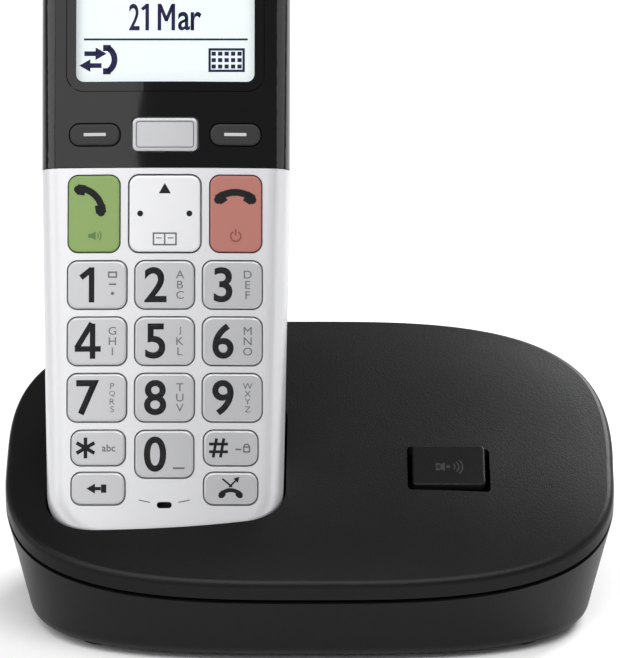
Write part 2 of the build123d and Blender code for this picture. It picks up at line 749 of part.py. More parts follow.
# --- Charging contacts: in the handset's frame, they press up along its length ---
floor_low = -pocket_clearance - pocket_wall
carrier = Pos(0, floor_low - carrier_depth / 2, -charge_plate_back) * Box(
    carrier_size[0], carrier_depth, carrier_size[1]
)
shoulder_low = floor_low - shoulder_drop
for side, name in ((-1, "charge_contact_left"), (1, "charge_contact_right")):
    place = Pos(side * charge_plate_across, -contact_gap, -charge_plate_back)
    blade = place * Box(
        contact_blade[0], contact_length, contact_blade[1], align=(Align.CENTER, Align.MAX, Align.CENTER)
    )
    shoulder = Pos(side * charge_plate_across, shoulder_low, -charge_plate_back) * Box(
        contact_blade[0] + 2 * contact_shoulder[0],
        contact_shoulder[1],
        contact_blade[1] + 2 * contact_shoulder[0],
    )
    parts[name] = seat * (blade + shoulder)
    carrier = carrier - Pos(side * charge_plate_across, floor_low, -charge_plate_back) * Box(
        contact_blade[0] + 2 * contact_shoulder[0] + 2 * contact_slot_gap,
        3 * carrier_depth,
        contact_blade[1] + 2 * contact_shoulder[0] + 2 * contact_slot_gap,
    )
parts["contact_carrier"] = seat * carrier

# --- Write every node, with the origin under the middle of the whole object ---
whole = Compound(list(parts.values())).bounding_box()
middle_back = (whole.min.Y + whole.max.Y) / 2
centring = Pos(0, -middle_back, 0)
os.makedirs("parts", exist_ok=True)
for name, body in parts.items():
    export_step(centring * body, f"parts/{name}.step")
print(len(parts), "nodes", whole.size, "moved forward by", round(middle_back, 3))
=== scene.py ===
# %% [markdown]
# # A cordless phone in its charging base
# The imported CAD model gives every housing, key and inner part its true shape and place. This lesson loads
# it as a fixed frame, then adds what a maker adds last: finishes, printed legends, the picture on the
# display, batteries and their springs, metal inside the sockets, parts on the base's board, and a small
# studio of lights round it.

# %% Load the frame
import json
import math

import bmesh
import bpy
from mathutils import Matrix, Vector
from mathutils.bvhtree import BVHTree

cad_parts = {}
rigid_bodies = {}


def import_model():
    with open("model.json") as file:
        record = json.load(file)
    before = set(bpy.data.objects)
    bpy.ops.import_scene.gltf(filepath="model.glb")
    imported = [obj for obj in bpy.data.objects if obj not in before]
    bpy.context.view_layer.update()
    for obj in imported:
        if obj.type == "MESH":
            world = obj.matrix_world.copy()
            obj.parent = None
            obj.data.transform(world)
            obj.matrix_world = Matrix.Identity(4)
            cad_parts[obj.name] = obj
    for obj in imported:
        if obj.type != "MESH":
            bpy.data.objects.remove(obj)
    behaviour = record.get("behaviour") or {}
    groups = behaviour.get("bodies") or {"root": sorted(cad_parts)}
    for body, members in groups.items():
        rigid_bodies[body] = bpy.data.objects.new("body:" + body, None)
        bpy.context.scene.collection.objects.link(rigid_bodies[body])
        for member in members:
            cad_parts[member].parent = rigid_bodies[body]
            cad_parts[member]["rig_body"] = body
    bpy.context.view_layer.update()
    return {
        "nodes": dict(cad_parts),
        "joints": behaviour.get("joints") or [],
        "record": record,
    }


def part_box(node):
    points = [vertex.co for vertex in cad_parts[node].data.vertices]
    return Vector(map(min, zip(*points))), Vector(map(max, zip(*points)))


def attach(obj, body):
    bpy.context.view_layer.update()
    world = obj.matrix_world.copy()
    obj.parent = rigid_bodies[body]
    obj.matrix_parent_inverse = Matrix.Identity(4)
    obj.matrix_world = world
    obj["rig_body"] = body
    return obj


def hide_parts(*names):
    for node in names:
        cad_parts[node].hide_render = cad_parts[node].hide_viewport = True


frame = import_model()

nodes = frame["nodes"]
joints = {joint["name"]: joint for joint in frame["joints"]}

# %% [markdown]
# The handset leans back, so nothing on it lies along X, Y or Z. Its own directions come from the joints:
# the handset lifts out along its length, and a key is pressed straight into its front. A matrix built
# from them stands flat work up on the handset: x across, y along from the bottom end, z out from the
# highest line of the front face.

# %% The handset's own directions
along = Vector(joints["handset_lift"]["axis"]).normalized()
out = -Vector(joints["key_5_press"]["axis"]).normalized()
across = along.cross(out)


def span(node, direction):
    """The least and greatest reach of a CAD node along a direction."""
    reach = [vertex.co.dot(direction) for vertex in nodes[node].data.vertices]
    return min(reach), max(reach)


left, right = span("handset_front_housing", across)
bottom = span("handset_front_housing", along)[0]
face = span("handset_front_housing", out)[1]
origin = across * (left + right) / 2 + along * bottom + out * face
stand = Matrix((across, along, out)).transposed().to_4x4()
stand.translation = origin
print("front face origin", [round(v, 4) for v in origin])


def local_box(node):
    """A CAD node's low and high corner in the handset's own directions."""
    spans = [span(node, direction) for direction in (across, along, out)]
    offsets = [origin.dot(direction) for direction in (across, along, out)]
    low = Vector([s[0] - o for s, o in zip(spans, offsets)])
    high = Vector([s[1] - o for s, o in zip(spans, offsets)])
    return low, high


def middle_of(node):
    """A CAD node's middle across and along the handset."""
    low, high = local_box(node)
    return ((low.x + high.x) / 2, (low.y + high.y) / 2)


# %% [markdown]
# Moulded plastic isn't perfectly smooth. One node group, shared by all the grained finishes, makes a fine
# grain for the Bump node and a faint unevenness for the roughness.

# %% Moulded grain
grain_detail, cloud_scale = 2.0, 45.0


def moulded_grain():
    """A node group: fine moulded texture as a height and a slightly uneven roughness."""
    group = bpy.data.node_groups.new("moulded_grain", "ShaderNodeTree")
    for socket in ("Scale", "Low", "High"):
        group.interface.new_socket(socket, in_out="INPUT", socket_type="NodeSocketFloat")
    for socket in ("Height", "Roughness"):
        group.interface.new_socket(socket, in_out="OUTPUT", socket_type="NodeSocketFloat")
    add = group.nodes.new
    inside, outside = add("NodeGroupInput"), add("NodeGroupOutput")
    place = add("ShaderNodeTexCoord")
    grain, cloud, spread = add("ShaderNodeTexNoise"), add("ShaderNodeTexNoise"), add("ShaderNodeMapRange")
    grain.inputs["Detail"].default_value = grain_detail
    cloud.inputs["Scale"].default_value = cloud_scale
    link = group.links.new
    link(place.outputs["Object"], grain.inputs["Vector"])
    link(place.outputs["Object"], cloud.inputs["Vector"])
    link(inside.outputs["Scale"], grain.inputs["Scale"])
    link(cloud.outputs["Fac"], spread.inputs["Value"])
    link(inside.outputs["Low"], spread.inputs["To Min"])
    link(inside.outputs["High"], spread.inputs["To Max"])
    link(grain.outputs["Fac"], outside.inputs["Height"])
    link(spread.outputs["Result"], outside.inputs["Roughness"])
    return group


grain_group = moulded_grain()
print("group", grain_group.name)

# %% [markdown]
# Every finish is one Principled shader. A plain one has even values. A grained one takes its roughness
# and its bumps from the group above, and says how fine and how deep the grain is.

# %% Two kinds of finish
grain_relief = 0.0001


def finish(name, colour, roughness=0.4, metallic=0.0, specular=0.5, glow=0.0):
    """A plain finish: one Principled shader with even values."""
    material = bpy.data.materials.new(name)
    material.use_nodes = True
    shader = material.node_tree.nodes["Principled BSDF"]
    shader.inputs["Base Color"].default_value = (*colour, 1.0)
    shader.inputs["Roughness"].default_value = roughness
    shader.inputs["Metallic"].default_value = metallic
    shader.inputs["Specular IOR Level"].default_value = specular
    shader.inputs["Emission Color"].default_value = (*colour, 1.0)
    shader.inputs["Emission Strength"].default_value = glow
    return material


def grained(name, colour, low, high, depth, scale=2600.0, **more):
    """A moulded finish: the plain one, with grain in its height and roughness."""
    material = finish(name, colour, **more)
    tree = material.node_tree
    shader = tree.nodes["Principled BSDF"]
    group, bump = tree.nodes.new("ShaderNodeGroup"), tree.nodes.new("ShaderNodeBump")
    group.node_tree = grain_group
    group.inputs["Scale"].default_value = scale
    group.inputs["Low"].default_value = low
    group.inputs["High"].default_value = high
    bump.inputs["Strength"].default_value = depth
    bump.inputs["Distance"].default_value = grain_relief
    tree.links.new(group.outputs["Height"], bump.inputs["Height"])
    tree.links.new(bump.outputs["Normal"], shader.inputs["Normal"])
    tree.links.new(group.outputs["Roughness"], shader.inputs["Roughness"])
    return material


print("kinds of finish: finish, grained")

# %% [markdown]
# One finish is made for each material slot that the record names. The blacks are near the darkest a
# plastic gets, so what shows of them is mostly the lights they mirror.

# %% Finishes
base_colour, body_colour = (0.0035, 0.0035, 0.0038), (0.009, 0.009, 0.0095)
silver_colour, pale_silver = (0.62, 0.62, 0.637), (0.65, 0.65, 0.665)
finishes = {
    "base_black": grained("base_black", base_colour, 0.36, 0.46, 0.4, specular=0.17),
    "handset_black": grained("handset_black", body_colour, 0.36, 0.46, 0.4, specular=0.3),
    "foot_rubber": grained("foot_rubber", (0.02, 0.02, 0.02), 0.7, 0.85, 0.5),
    "circuit_board": grained("circuit_board", (0.015, 0.13, 0.045), 0.30, 0.42, 0.15, 900.0),
    "tin_steel": grained("tin_steel", (0.62, 0.62, 0.62), 0.24, 0.40, 0.1, 1500.0, metallic=1.0),
    "jack_plastic": grained("jack_plastic", (0.02, 0.02, 0.02), 0.45, 0.60, 0.3),
    "contact_metal": grained("contact_metal", (0.85, 0.80, 0.66), 0.18, 0.30, 0.1, 1500.0, metallic=1.0),
    "screw_steel": grained("screw_steel", (0.55, 0.55, 0.56), 0.25, 0.38, 0.1, 1500.0, metallic=1.0),
    "silver_front": grained("silver_front", silver_colour, 0.34, 0.40, 0.06, 5000.0, metallic=0.55),
    "gloss_black": grained("gloss_black", (0.0025, 0.0025, 0.003), 0.045, 0.085, 0.012, 400.0),
    # The display's ground glows a little: painted light that keeps it bright under the window.
    "display_white": grained("display_white", (0.80, 0.86, 0.87), 0.45, 0.55, 0.1, glow=0.54),
    "backlight_white": grained("backlight_white", (0.9, 0.9, 0.9), 0.45, 0.55, 0.1),
    "flex_amber": grained("flex_amber", (0.5, 0.22, 0.03), 0.30, 0.42, 0.1),
    "membrane_rubber": grained("membrane_rubber", (0.30, 0.30, 0.31), 0.55, 0.70, 0.3),
    "battery_wrap": grained("battery_wrap", (0.66, 0.69, 0.67), 0.26, 0.36, 0.1, 1200.0),
    "speaker_black": grained("speaker_black", (0.02, 0.02, 0.02), 0.5, 0.7, 0.5),
    "key_green": grained("key_green", (0.18, 0.275, 0.083), 0.34, 0.42, 0.1, 5000.0, specular=0.4),
    "key_red": grained("key_red", (0.335, 0.126, 0.103), 0.34, 0.42, 0.1, 5000.0, specular=0.4),
    "key_white": grained("key_white", pale_silver, 0.34, 0.40, 0.06, 5000.0, metallic=0.5),
    "key_black": grained("key_black", (0.012, 0.012, 0.013), 0.42, 0.52, 0.2, specular=0.35),
    "key_silver": grained("key_silver", (0.46, 0.46, 0.475), 0.32, 0.40, 0.06, 5000.0, metallic=0.55),
}
# The black ink prints the legends, and it also paints the shade in the screw recesses.
ink = finish("print_and_recess_shade_ink", (0.004, 0.004, 0.005), 0.55, specular=0.2)
faint_ink = finish("faint_print", (0.11, 0.11, 0.115), 0.55, specular=0.2)
display_ink = finish("display_segments", (0.022, 0.018, 0.10), 0.55, specular=0.2)
print(len(finishes), "finishes")

# %% [markdown]
# The display window is a clear plate. Real glass in a path tracer blocks the light to the display under
# it, so the window mixes a Transparent shader with a glossy one, and a Fresnel node says how much it
# mirrors at each angle.

# %% The display window's finish
window = bpy.data.materials.new("display_glass")
window.use_nodes = True
window_tree = window.node_tree
gloss = window_tree.nodes["Principled BSDF"]
gloss.inputs["Base Color"].default_value = (0.02, 0.02, 0.02, 1.0)
gloss.inputs["Roughness"].default_value = 0.03
clear = window_tree.nodes.new("ShaderNodeBsdfTransparent")
mirror = window_tree.nodes.new("ShaderNodeFresnel")
mirror.inputs["IOR"].default_value = 1.45
blend = window_tree.nodes.new("ShaderNodeMixShader")
window_tree.links.new(mirror.outputs["Fac"], blend.inputs["Fac"])
window_tree.links.new(clear.outputs["BSDF"], blend.inputs[1])
window_tree.links.new(gloss.outputs["BSDF"], blend.inputs[2])
window_tree.links.new(blend.outputs["Shader"], window_tree.nodes["Material Output"].inputs["Surface"])
finishes["display_glass"] = window
print("window finish", window.name)

# %% [markdown]
# The CAD nodes keep their own meshes, whose normals already shade smooth, so each one only needs its
# finish. The record says which material slot a node takes.

# %% Dress the CAD nodes
slots = {entry["node"]: entry["material_slot"] for entry in frame["record"]["subparts"]}
for node, piece in nodes.items():
    piece.data.materials.clear()
    piece.data.materials.append(finishes[slots[node]])
print("dressed", len(nodes), "nodes")

# %% [markdown]
# Printed legends and display symbols are drawn flat, in millimetres, from a few simple shapes: a bar, a
# disc, a wedge and an arc. Each helper adds its shape to a bmesh, so one symbol is one mesh.

# %% Shapes for flat symbols
mm = 0.001
corner_steps, disc_steps, arc_step = 8, 20, 12


def spot(x, y, turn=0.0, width=1.0, height=1.0):
    """A matrix that scales, turns and then moves a flat shape."""
    scale = Matrix.Diagonal((width, height, 1.0, 1.0))
    return Matrix.Translation((x, y, 0)) @ Matrix.Rotation(math.radians(turn), 4, "Z") @ scale


def bar(art, x, y, width, height, turn=0.0):
    """A filled rectangle."""
    bmesh.ops.create_grid(art, x_segments=1, y_segments=1, size=0.5, matrix=spot(x, y, turn, width, height))


def disc(art, x, y, radius):
    """A filled circle."""
    bmesh.ops.create_circle(art, cap_ends=True, radius=radius, segments=disc_steps, matrix=spot(x, y))


def wedge(art, x, y, radius, turn=0.0):
    """A triangle that points up before it is turned."""
    bmesh.ops.create_circle(art, cap_ends=True, radius=radius, segments=3, matrix=spot(x, y, turn))


def arc(art, x, y, radius, width, start, sweep):
    """A curved stroke: one short edge spun about the arc's middle."""
    middle = Vector((x, y, 0))
    heading = Vector((math.cos(math.radians(start)), math.sin(math.radians(start)), 0))
    ends = [art.verts.new(middle + heading * (radius + side * width / 2)) for side in (-1, 1)]
    edge = art.edges.new(ends)
    steps = max(4, round(abs(sweep) / arc_step))
    full = abs(sweep) >= 360
    bmesh.ops.spin(
        art,
        geom=ends + [edge],
        cent=middle,
        axis=(0, 0, 1),
        angle=math.radians(sweep),
        steps=steps,
        use_merge=full,
    )


def outline(art, x, y, width, height, line):
    """A rectangle drawn in lines."""
    for side in (-1, 1):
        bar(art, x + side * (width - line) / 2, y, line, height)
        bar(art, x, y + side * (height - line) / 2, width - 2 * line, line)


def rounded_frame(art, x, y, width, height, corner, line):
    """A rectangle with round corners, drawn in one line of even width.

    The rounded face is inset by the width of the line. The face left inside, with many corners, goes.
    """
    made = bmesh.ops.create_grid(art, x_segments=1, y_segments=1, size=0.5, matrix=spot(x, y, 0, width, height))
    bmesh.ops.bevel(
        art,
        geom=made["verts"],
        offset=corner,
        offset_type="OFFSET",
        affect="VERTICES",
        segments=corner_steps,
        profile=0.5,
        material=-1,
    )
    whole = [each for each in art.faces if len(each.verts) > corner_steps]
    bmesh.ops.inset_region(art, faces=whole, thickness=line, use_even_offset=True, use_boundary=True)
    inside = [each for each in art.faces if len(each.verts) > corner_steps]
    bmesh.ops.delete(art, geom=inside, context="FACES_ONLY")


def lettering(art, text, x, y, height, stretch=1.0, weight=0.0):
    """Letters or digits of a given height, centred on a place."""
    curve = bpy.data.curves.new("lettering", "FONT")
    curve.body = text
    curve.offset = weight
    curve.resolution_u = 6
    holder = bpy.data.objects.new("lettering", curve)
    flat = bpy.data.meshes.new_from_object(holder)
    low = Vector([min(vertex.co[i] for vertex in flat.vertices) for i in range(3)])
    high = Vector([max(vertex.co[i] for vertex in flat.vertices) for i in range(3)])
    size = height / (high.y - low.y)
    flat.transform(spot(x, y, 0, size * stretch, size) @ Matrix.Translation(-(low + high) / 2))
    art.from_mesh(flat)
    bpy.data.objects.remove(holder)
    bpy.data.curves.remove(curve)
    bpy.data.meshes.remove(flat)


print("shapes: bar, disc, wedge, arc, outline, rounded_frame, lettering")

# %% [markdown]
# A print is then scaled to metres, given the thickness of a coat of ink, sliced into strips and bent over
# the curved front. Bending moves only the vertices, so without the slices a wide symbol would sink into
# the curve between them.

# %% Laying a print on the handset
crown_radius = 0.180
print_depth = 0.03 * mm
strip = 1.5 * mm
weld_in_mm = 0.0005


def crowned(lift):
    """The height of the curved front, raised by lift, at a place across."""
    return lambda x: math.sqrt((crown_radius + lift) ** 2 - x * x) - crown_radius


def flat_at(height):
    """A flat surface at one height."""
    return lambda x: height


def make_piece(bm, name, body, material):
    """Turns a bmesh that is already in place into an object that rides on a body."""
    mesh = bpy.data.meshes.new(name)
    bm.to_mesh(mesh)
    bm.free()
    mesh.materials.append(material)
    piece = bpy.data.objects.new(name, mesh)
    bpy.context.scene.collection.objects.link(piece)
    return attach(piece, body)


def lay_print(art, name, middle, surface, body, material, place=stand):
    """Lays flat artwork on a surface, with its middle at a place in metres."""
    bmesh.ops.remove_doubles(art, verts=art.verts, dist=weld_in_mm)
    bmesh.ops.scale(art, vec=(mm, mm, mm), verts=art.verts)
    bmesh.ops.translate(art, vec=(middle[0], middle[1], 0), verts=art.verts)
    bmesh.ops.recalc_face_normals(art, faces=art.faces)
    for flat_face in art.faces:
        if flat_face.normal.z < 0:
            flat_face.normal_flip()
    reach = [vertex.co.x for vertex in art.verts]
    cut = strip * math.ceil(min(reach) / strip)
    while cut < max(reach):
        bmesh.ops.bisect_plane(
            art, geom=art.verts[:] + art.edges[:] + art.faces[:], plane_co=(cut, 0, 0), plane_no=(1, 0, 0)
        )
        cut += strip
    bmesh.ops.solidify(art, geom=art.faces[:], thickness=print_depth)
    low = min(vertex.co.z for vertex in art.verts)
    for vertex in art.verts:
        vertex.co.z += surface(vertex.co.x) - low
    bmesh.ops.transform(art, matrix=place, verts=art.verts)
    bmesh.ops.recalc_face_normals(art, faces=art.faces)
    return make_piece(art, name, body, material)


# %% [markdown]
# Every number key has a large digit on its left and its letters in a small column on its right. They ride
# on the key's own body, so they go down with it. The first key has no letters, so it gets three small
# marks instead.

# %% Digits and letters
key_proud = 0.5 * mm
key_top = crowned(key_proud)
letters = {1: "", 2: "ABC", 3: "DEF", 4: "GHI", 5: "JKL", 6: "MNO", 7: "PQRS", 8: "TUV", 9: "WXYZ"}
digit_height, digit_stretch, digit_weight = 7.3, 0.98, 0.018
digit_shift, column_shift, column_length = -1.9, 3.2, 6.4
stroke, letter_share, letter_stretch, least_letters = 1.15, 0.76, 1.1, 3


def print_on_key(art, name, node, material):
    """Lays artwork on the crowned top of a key."""
    lay_print(art, name, middle_of(node), key_top, nodes[node]["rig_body"], material)


def draw_one(art):
    """A stem with a flag, which the built-in lettering leaves off."""
    bar(art, digit_shift + 0.75, 0, stroke, digit_height)
    bar(art, digit_shift - 0.45, digit_height / 2 - 1.35, 2.6, stroke, 38)


def draw_four(art):
    """A stem, a crossbar and a slope, whose inside the heavier lettering would close up."""
    bar(art, digit_shift + 1.0, 0, stroke, digit_height)
    bar(art, digit_shift, -1.6, 5.4, stroke)
    bar(art, digit_shift - 0.75, 1.15, 6.1, stroke, 58.5)


drawn = {1: draw_one, 4: draw_four}
for number, column in letters.items():
    node = f"key_{number}"
    art = bmesh.new()
    if number in drawn:
        drawn[number](art)
    else:
        lettering(art, str(number), digit_shift, 0, digit_height, digit_stretch, digit_weight)
    print_on_key(art, f"digit_{number}", node, ink)
    art = bmesh.new()
    pitch = column_length / max(len(column), least_letters)
    for place, letter in enumerate(column):
        letter_y = column_length / 2 - pitch * (place + 0.5)
        lettering(art, letter, column_shift, letter_y, pitch * letter_share, letter_stretch)
    if not column:
        outline(art, column_shift, 2.1, 1.9, 1.3, 0.3)
        bar(art, column_shift, 0.1, 1.5, 0.35)
        disc(art, column_shift, -1.8, 0.35)
    print_on_key(art, f"letters_{number}", node, faint_ink)
art = bmesh.new()
lettering(art, "0", digit_shift, 0, digit_height, digit_stretch, digit_weight)
print_on_key(art, "digit_0", "key_0", ink)
art = bmesh.new()
bar(art, 3.0, -2.9, 2.4, 0.4)
print_on_key(art, "space_mark", "key_0", faint_ink)
print("digits on", len(letters) + 1, "keys")

# %% [markdown]
# The star and hash signs are bars crossed over each other. Each of the two keys has a second use, shown
# by a small grey mark beside its sign.

# %% Star and hash
art = bmesh.new()
for turn in (0, 60, 120):
    bar(art, -2.6, 0, 0.75, 4.3, turn)
print_on_key(art, "star_sign", "star_key", ink)
art = bmesh.new()
lettering(art, "abc", 2.2, 0, 1.5, 1.0, 0.01)
print_on_key(art, "letter_case_mark", "star_key", faint_ink)
art = bmesh.new()
for side in (-1, 1):
    bar(art, -2.5 + side * 0.75, 0, 0.6, 4.0, -10)
    bar(art, -2.5, side * 0.8, 3.9, 0.6)
print_on_key(art, "hash_sign", "hash_key", ink)
art = bmesh.new()
outline(art, 3.3, -0.3, 1.5, 1.3, 0.3)
arc(art, 3.3, 0.3, 0.5, 0.28, 0, 180)
bar(art, 1.6, -0.3, 1.2, 0.35)
print_on_key(art, "lock_mark", "hash_key", faint_ink)
print("star and hash signs laid")

# %% [markdown]
# The call keys show a handset: a curved stroke with a block at each end. The green key lifts it, the red
# one lays it down. Their second uses are a loudspeaker and a power sign, printed in a darker shade of
# each key.

# %% Call signs
arc_share, arc_drop, block_drop = 0.84, 0.85, 0.94      # shares of the arch's angle and radius
grip_width, block_width, block_length = 0.2, 0.24, 0.31      # shares of the sign's size
nub_out, nub_radius = 0.1, 0.12


def handset_sign(art, x, y, size, turn, bend=1.25):
    """A telephone handset, seen from the side, arched upwards before it is turned."""
    radius = size / 2 * bend
    half_angle = math.degrees(math.asin(1 / bend)) * arc_share
    lean_in = math.radians(turn)
    centre_x = x + math.sin(lean_in) * radius * arc_drop
    centre_y = y - math.cos(lean_in) * radius * arc_drop
    arc(art, centre_x, centre_y, radius, size * grip_width, 90 - half_angle + turn, 2 * half_angle)
    for side in (-1, 1):
        angle = math.radians(90 - side * half_angle + turn)
        at_x = centre_x + math.cos(angle) * radius * block_drop
        at_y = centre_y + math.sin(angle) * radius * block_drop
        bar(art, at_x, at_y, size * block_width, size * block_length, math.degrees(angle) - 90)
        nub_x = at_x + math.sin(angle) * side * size * nub_out
        nub_y = at_y - math.cos(angle) * side * size * nub_out
        disc(art, nub_x, nub_y, size * nub_radius)


dark_green = finish("talk_second_print", (0.07, 0.14, 0.03), 0.5)
dark_red = finish("off_second_print", (0.16, 0.035, 0.03), 0.5)
art = bmesh.new()
handset_sign(art, -0.3, 3.3, 7.0, -45, 1.45)
print_on_key(art, "talk_sign", "talk_key", ink)
art = bmesh.new()
handset_sign(art, -0.1, 3.6, 7.2, 0, 1.6)
print_on_key(art, "off_sign", "off_key", ink)
art = bmesh.new()
bar(art, -0.75, -4.6, 0.8, 0.9)
wedge(art, -0.15, -4.6, 1.05, 90)
for radius in (0.6, 1.15):
    arc(art, 0.35, -4.6, radius, 0.25, -50, 100)
print_on_key(art, "loudspeaker_sign", "talk_key", dark_green)
art = bmesh.new()
arc(art, 0, -4.7, 1.05, 0.32, 120, 300)
bar(art, 0, -3.9, 0.32, 1.3)
print_on_key(art, "power_sign", "off_key", dark_red)
print("call signs laid")

# %% [markdown]
# The navigator has a triangle at the top, a dot at each side and an open book at the bottom. The two
# lowest keys have a redial arrow and a silenced handset, and the soft keys a white dash each.

# %% Navigator, bottom and soft key signs
art = bmesh.new()
wedge(art, 0, 4.9, 1.45)
for side in (-1, 1):
    disc(art, side * 5.1, 0, 0.62)
print_on_key(art, "navigator_arrows", "navigator_key", ink)
art = bmesh.new()
outline(art, 0, -5.3, 5.0, 2.7, 0.32)
bar(art, 0, -5.3, 0.32, 2.2)
for side in (-1, 1):
    bar(art, side * 1.2, -5.1, 1.2, 0.22)
print_on_key(art, "phonebook_sign", "navigator_key", faint_ink)
art = bmesh.new()
wedge(art, -1.2, 0, 1.2, 90)
bar(art, -0.2, 0, 1.6, 0.7)
bar(art, 1.2, 0, 1.1, 1.7)
print_on_key(art, "redial_sign", "redial_key", ink)
art = bmesh.new()
handset_sign(art, 0, -0.7, 4.2, 0)
bar(art, -0.7, 1.2, 0.35, 2.6, 50)
bar(art, 0.5, 1.1, 0.35, 2.2, -45)
wedge(art, 1.3, 1.9, 0.75, -45)
print_on_key(art, "mute_sign", "mute_key", ink)
dash_white = finish("dash_white", (0.42, 0.42, 0.42), 0.5)
for side in ("left", "right"):
    node = f"soft_key_{side}"
    art = bmesh.new()
    bar(art, 0, 0, 4.6, 0.65)
    print_on_key(art, f"soft_dash_{side}", node, dash_white)
print("small signs laid")

# %% [markdown]
# The display is a liquid crystal panel: dark segments that look flat on a bright, faintly green-grey
# ground. It shows the time and the date over a rule, with small signs above and below.

# %% Display symbols
panel_high = local_box("display_panel")[1]
window_low, window_high = local_box("display_lens")
print_lift = 0.01 * mm
panel_top = flat_at(panel_high.z + print_lift)
display_middle = middle_of("display_lens")


def show(name, draw, x, y):
    """Draws one display symbol round a place on the panel, in millimetres from the window's middle."""
    art = bmesh.new()
    draw(art)
    place = (display_middle[0] + x * mm, display_middle[1] + y * mm)
    lay_print(art, name, place, panel_top, "handset", display_ink)


def draw_transfer(art):
    """Two arrows that pass each other, and a handset."""
    for side in (-1, 1):
        bar(art, -1.9 - side * 0.5, side * 1.25, 2.6, 1.0)
        wedge(art, -1.9 + side * 1.3, side * 1.25, 1.55, -side * 90)
    arc(art, -0.3, 0, 2.9, 1.25, -58, 116)
    for side in (-1, 1):
        bar(art, 1.0, side * 2.45, 1.6, 1.3)


def draw_keypad(art):
    """Rows of small keys in a frame."""
    outline(art, 0, 0, 7.6, 5.0, 0.5)
    for column in range(5):
        for row in range(3):
            bar(art, (column - 2) * 1.35, (row - 1) * 1.35, 0.9, 0.85)


def draw_battery(art):
    """A full battery on its side."""
    outline(art, 0, 0, 4.6, 2.2, 0.3)
    bar(art, 2.5, 0, 0.5, 1.1)
    for cell in range(3):
        bar(art, (cell - 1) * 1.3, 0, 0.95, 1.3)


def draw_signal(art):
    """An aerial beside four rising bars."""
    wedge(art, -2.4, 0.5, 0.9, 180)
    bar(art, -2.4, -0.2, 0.3, 1.8)
    for step in range(4):
        bar(art, -1.2 + step * 0.9, -0.9 + step * 0.25, 0.55, 0.6 + step * 0.5)


def draw_date(art):
    """Narrow, heavy figures, with the one and the capital drawn in bars."""
    lettering(art, "2", -6.3, 0, 5.6, 0.62, 0.012)
    bar(art, -3.6, 0, 0.75, 5.6)
    bar(art, -4.2, 2.0, 1.3, 0.7, 38)
    for side in (-1, 1):
        bar(art, 0.4 + side * 1.45, 0, 0.75, 5.6)
        bar(art, 0.4 + side * 0.62, 0.85, 0.7, 3.6, side * -22)
    lettering(art, "a", 4.1, -0.85, 3.9, 0.78, 0.014)
    lettering(art, "r", 6.6, -0.85, 3.9, 0.78, 0.014)


def draw_time(art):
    """Large figures over the date."""
    bar(art, -7.2, 0, 0.95, 6.6)
    bar(art, -7.95, 2.45, 1.6, 0.85, 38)
    lettering(art, "0", -4.0, 0, 6.6, 0.86, 0.012)
    for side in (-1, 1):
        disc(art, -0.6, side * 1.5, 0.5)
    lettering(art, "28", 4.2, 0, 6.6, 0.86, 0.012)


show("date_figures", draw_date, -0.3, -0.55)
show("time_figures", draw_time, 0.0, 7.4)
show("rule", lambda art: bar(art, 0, 0, 34.2, 0.42), 0.0, -5.25)
show("transfer_sign", draw_transfer, -13.3, -9.5)
show("keypad_sign", draw_keypad, 12.7, -9.6)
show("battery_sign", draw_battery, 14.4, 12.9)
show("signal_sign", draw_signal, -14.4, 12.9)
print("display symbols at height", round(panel_high.z, 5))

# %% [markdown]
# The window is a clear plate that lies in a step of the black panel. A black border is printed round its
# edge, so that the step doesn't show through it, and the whole front reads as one dark sheet. The centre
# key gets a fine line round its top, and the microphone opening a short stroke on each side.

# %% Border, key line and microphone marks
lens_size = window_high - window_low
lens_lift = -0.1 * mm
border_line, border_round, border_inset = 1.95, 3.6, 0.1
border_width, border_height = lens_size.x / mm - border_inset, lens_size.y / mm - border_inset
art = bmesh.new()
rounded_frame(art, 0, 0, border_width, border_height, border_round, border_line)
lay_print(art, "window_border", display_middle, crowned(lens_lift), "handset", finishes["gloss_black"])
art = bmesh.new()
rounded_frame(art, 0, 0, 12.1, 5.6, 0.7, 0.22)
print_on_key(art, "centre_key_line", "centre_key", faint_ink)
art = bmesh.new()
for side in (-1, 1):
    bar(art, side * 4.1, 0.8, 2.4, 0.22, side * 12)
lay_print(art, "microphone_marks", middle_of("microphone"), crowned(0), "handset", faint_ink)
print("window border", [round(v * 1000, 2) for v in lens_size])

# %% [markdown]
# The locator button on the base has a sloped face, so its sign is stood up by a matrix of its own, from
# heights that a ray finds on the button.

# %% Locator button sign
probe = bmesh.new()
probe.from_mesh(nodes["locator_button"].data)
button_tree = BVHTree.FromBMesh(probe)
probe.free()
button_low, button_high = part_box("locator_button")
button_x, button_y = (button_low.x + button_high.x) / 2, (button_low.y + button_high.y) / 2


def button_face(y):
    """The point on the button's face, on its middle line, at a place to the back."""
    return button_tree.ray_cast(Vector((button_x, y, 1.0)), Vector((0, 0, -1)))[0]


probe_reach = 3 * mm
front_point, back_point = button_face(button_y - probe_reach), button_face(button_y + probe_reach)
uphill = (back_point - front_point).normalized()
button_stand = Matrix((Vector((1, 0, 0)), uphill, Vector((1, 0, 0)).cross(uphill))).transposed().to_4x4()
button_stand.translation = (front_point + back_point) / 2
sign_grey = finish("locator_print", (0.005, 0.005, 0.005), 0.55)
art = bmesh.new()
bar(art, -2.2, 0, 1.0, 2.0)
wedge(art, -1.5, 0, 1.4, 90)
disc(art, -0.1, 0, 0.45)
for radius in (1.2, 2.0, 2.8):
    arc(art, 0.1, 0, radius, 0.3, -42, 84)
lay_print(art, "locator_sign", (0.0, 0.0), flat_at(print_lift), "locator_button", sign_grey, button_stand)
print("locator sign on a face", round(math.degrees(math.asin(uphill.z)), 1), "degrees steep")

# %% [markdown]
# Behind the battery cover lie two round cells. Each is a turned shape: a profile of the metal can with
# its button, spun about the cell's middle, and a printed sleeve and band spun just outside it.

